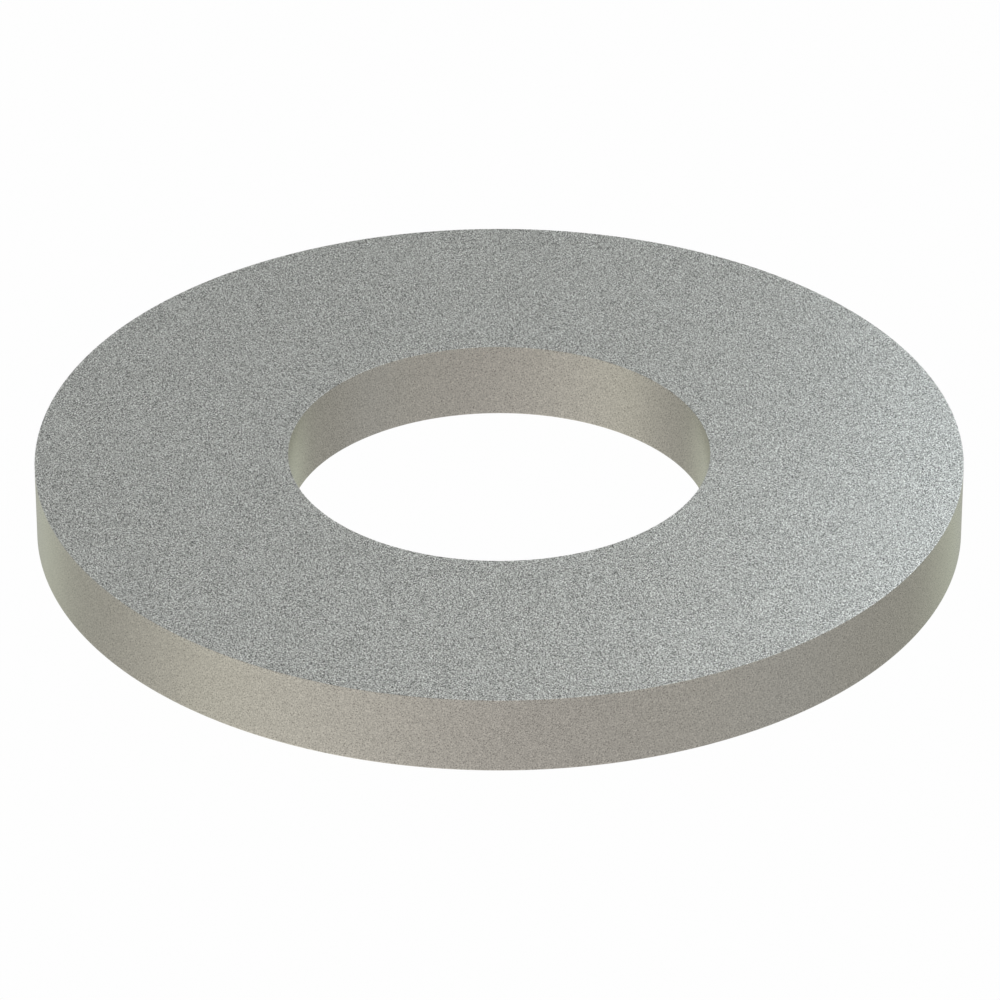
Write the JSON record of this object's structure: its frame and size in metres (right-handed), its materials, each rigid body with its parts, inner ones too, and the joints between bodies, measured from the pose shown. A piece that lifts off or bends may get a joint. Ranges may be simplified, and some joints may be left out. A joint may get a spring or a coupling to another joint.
{
  "type": "flat washer",
  "caption": "Plain flat steel washer: a thin flat ring that goes on a screw, under its head or nut, and spreads the clamping load.",
  "frame": {"origin": "centre of the lower bearing face, on the washer's axis", "axes": "+Z along the washer's axis, from the lower bearing face to the upper one; +X and +Y lie in the lower face, and the ring is the same all round"},
  "size_m": [0.0158, 0.0158, 0.0014],
  "materials": {
    "steel": "matt, with a fine, even blasted grain on the faces and a slightly smoother, warmer cut edge on the rim and in the hole"
  },
  "bodies": {
    "root": {"washer": "steel"}
  },
  "joints": []
}
